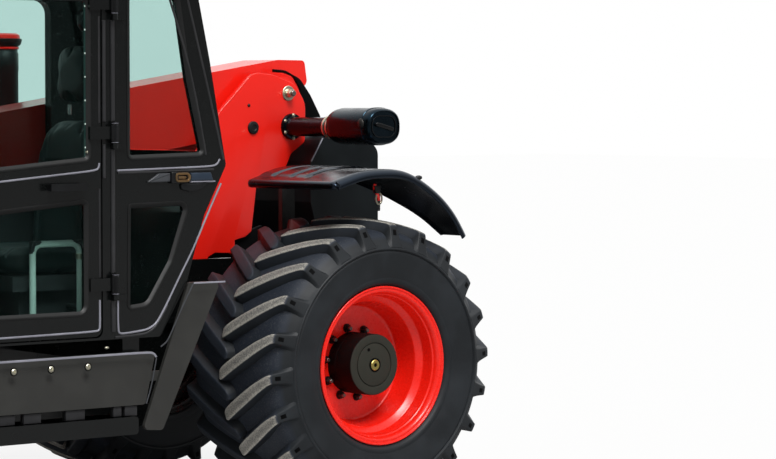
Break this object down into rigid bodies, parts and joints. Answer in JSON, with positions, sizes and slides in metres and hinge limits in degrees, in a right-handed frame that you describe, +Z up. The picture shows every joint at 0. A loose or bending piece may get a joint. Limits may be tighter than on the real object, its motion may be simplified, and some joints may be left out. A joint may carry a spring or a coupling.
{
  "type": "telehandler",
  "caption": "Telescopic handler with a side cab, steered wheels, a lifting and extending boom and a tilting fork carriage.",
  "frame": {"origin": "middle of the machine's footprint, on the ground", "axes": "+X forward towards the forks, +Y to the left, the cab's side, +Z up"},
  "size_m": [5.88, 2.25, 2.35],
  "materials": {
    "red_paint": "glossy orange-red paint",
    "rim_red": "satin red paint",
    "frame_black": "gloss black paint",
    "black_plastic": "moulded plastic with a soft gloss",
    "dark_grey": "satin dark grey paint",
    "tyre_rubber": "matt rubber, worn grey on the lugs",
    "glass": "teal tinted safety glass",
    "seat_leather": "black stitched leather",
    "trim_plastic": "grained moulded plastic",
    "chrome_rod": "hard chrome",
    "steel": "worn bare steel",
    "casting": "painted black casting",
    "lamp": "clear and red lens"
  },
  "bodies": {
    "root": {"chassis_frame": "frame_black", "boom_tower": "red_paint", "rear_cover": "black_plastic", "rear_lamps": "lamp", "tow_hitch": "casting", "air_cleaner": "black_plastic", "front_axle": "casting", "rear_axle": "casting", "cab_frame": "frame_black", "cab_roof": "black_plastic", "windscreen": "glass", "cab_windows": "glass", "seat_base": "trim_plastic", "seat_cushion": "seat_leather", "seat_back": "seat_leather", "headrest": "seat_leather", "headrest_posts": "chrome_rod", "steering_column": "trim_plastic", "steering_wheel": "trim_plastic", "console": "trim_plastic", "sill_panel": "dark_grey", "step_rail": "frame_black", "engine_bay": "frame_black", "engine_block": "casting", "intake_stack": "black_plastic", "headlamps": "lamp", "mirror_left": "black_plastic"},
    "door": {"door_frame": "frame_black", "door_windows": "glass", "door_handle": "black_plastic"},
    "hood": {"engine_hood": "red_paint"},
    "boom": {"boom_outer": "red_paint"},
    "boom_extension": {"boom_inner": "red_paint"},
    "carriage": {"fork_carriage": "frame_black", "forks": "steel"},
    "lift_barrel": {"lift_cylinder_barrel": "frame_black"},
    "lift_rod": {"lift_cylinder_rod": "chrome_rod"},
    "tilt_barrel": {"tilt_cylinder_barrel": "frame_black"},
    "tilt_rod": {"tilt_cylinder_rod": "chrome_rod"},
    "knuckle_front_left": {"knuckle_front_left": "casting", "fender_front_left": "black_plastic"},
    "wheel_front_left": {"tyre_front_left": "tyre_rubber", "rim_front_left": "rim_red", "hub_front_left": "casting"},
    "knuckle_front_right": {"knuckle_front_right": "casting", "fender_front_right": "black_plastic"},
    "wheel_front_right": {"tyre_front_right": "tyre_rubber", "rim_front_right": "rim_red", "hub_front_right": "casting"},
    "knuckle_rear_left": {"knuckle_rear_left": "casting", "fender_rear_left": "black_plastic"},
    "wheel_rear_left": {"tyre_rear_left": "tyre_rubber", "rim_rear_left": "rim_red", "hub_rear_left": "casting"},
    "knuckle_rear_right": {"knuckle_rear_right": "casting", "fender_rear_right": "black_plastic"},
    "wheel_rear_right": {"tyre_rear_right": "tyre_rubber", "rim_rear_right": "rim_red", "hub_rear_right": "casting"}
  },
  "joints": [
    {"name": "steer_front_left", "type": "hinge", "parent": "root", "child": "knuckle_front_left", "pos_m": [0.7, 0.7, 0.625], "axis": [0, 0, 1], "range_deg": [-25, 25]},
    {"name": "wheel_spin_front_left", "type": "hinge", "parent": "knuckle_front_left", "child": "wheel_front_left", "pos_m": [0.7, 0.795, 0.625], "axis": [0, 1, 0], "continuous": true},
    {"name": "steer_front_right", "type": "hinge", "parent": "root", "child": "knuckle_front_right", "pos_m": [0.7, -0.7, 0.625], "axis": [0, 0, 1], "range_deg": [-25, 25]},
    {"name": "wheel_spin_front_right", "type": "hinge", "parent": "knuckle_front_right", "child": "wheel_front_right", "pos_m": [0.7, -0.795, 0.625], "axis": [0, 1, 0], "continuous": true},
    {"name": "steer_rear_left", "type": "hinge", "parent": "root", "child": "knuckle_rear_left", "pos_m": [-2.2, 0.7, 0.625], "axis": [0, 0, 1], "range_deg": [-25, 25]},
    {"name": "wheel_spin_rear_left", "type": "hinge", "parent": "knuckle_rear_left", "child": "wheel_rear_left", "pos_m": [-2.2, 0.795, 0.625], "axis": [0, 1, 0], "continuous": true},
    {"name": "steer_rear_right", "type": "hinge", "parent": "root", "child": "knuckle_rear_right", "pos_m": [-2.2, -0.7, 0.625], "axis": [0, 0, 1], "range_deg": [-25, 25]},
    {"name": "wheel_spin_rear_right", "type": "hinge", "parent": "knuckle_rear_right", "child": "wheel_rear_right", "pos_m": [-2.2, -0.795, 0.625], "axis": [0, 1, 0], "continuous": true},
    {"name": "door_hinge", "type": "hinge", "parent": "root", "child": "door", "pos_m": [-0.874, 1.04, 1.5], "axis": [0, 0, 1], "range_deg": [0, 150]},
    {"name": "hood_hinge", "type": "hinge", "parent": "root", "child": "hood", "pos_m": [-0.8, -0.36, 1.316], "axis": [-1, 0, 0], "range_deg": [0, 60]},
    {"name": "boom_lift", "type": "hinge", "parent": "root", "child": "boom", "pos_m": [-2.42, -0.04, 1.78], "axis": [0, -1, 0], "range_deg": [-1.5, 62]},
    {"name": "boom_extend", "type": "slide", "parent": "boom", "child": "boom_extension", "axis": [0.9877, 0, -0.1564], "range_m": [0, 2.3]},
    {"name": "carriage_tilt", "type": "hinge", "parent": "boom_extension", "child": "carriage", "pos_m": [1.60039, -0.04, 0.44969], "axis": [0, 1, 0], "range_deg": [-15, 95]},
    {"name": "lift_barrel_swing", "type": "hinge", "parent": "root", "child": "lift_barrel", "pos_m": [-2.22, -0.04, 0.86], "axis": [0, -1, 0], "range_deg": [-0.91, 37.12]},
    {"name": "lift_rod_slide", "type": "slide", "parent": "lift_barrel", "child": "lift_rod", "axis": [0.8357, 0, 0.5492], "range_m": [-0.01901, 0.78564]},
    {"name": "tilt_barrel_swing", "type": "hinge", "parent": "boom_extension", "child": "tilt_barrel", "pos_m": [1.13411, -0.04, 1.20696], "axis": [0, 1, 0], "range_deg": [-2.51, 0.4]},
    {"name": "tilt_rod_slide", "type": "slide", "parent": "tilt_barrel", "child": "tilt_rod", "axis": [0.6391, 0, -0.7691], "range_m": [-0.05192, 0.32881]}
  ],
  "couplings": [
    {"joint": "steer_front_right", "follows": "steer_front_left", "ratio": 1},
    {"joint": "steer_rear_right", "follows": "steer_rear_left", "ratio": 1},
    {"joint": "lift_barrel_swing", "follows": "boom_lift", "ratio": 0.58688},
    {"joint": "lift_rod_slide", "follows": "boom_lift", "m_per_rad": 0.71179},
    {"joint": "tilt_barrel_swing", "follows": "carriage_tilt", "ratio": -0.025914},
    {"joint": "tilt_rod_slide", "follows": "carriage_tilt", "m_per_rad": 0.19442}
  ]
}
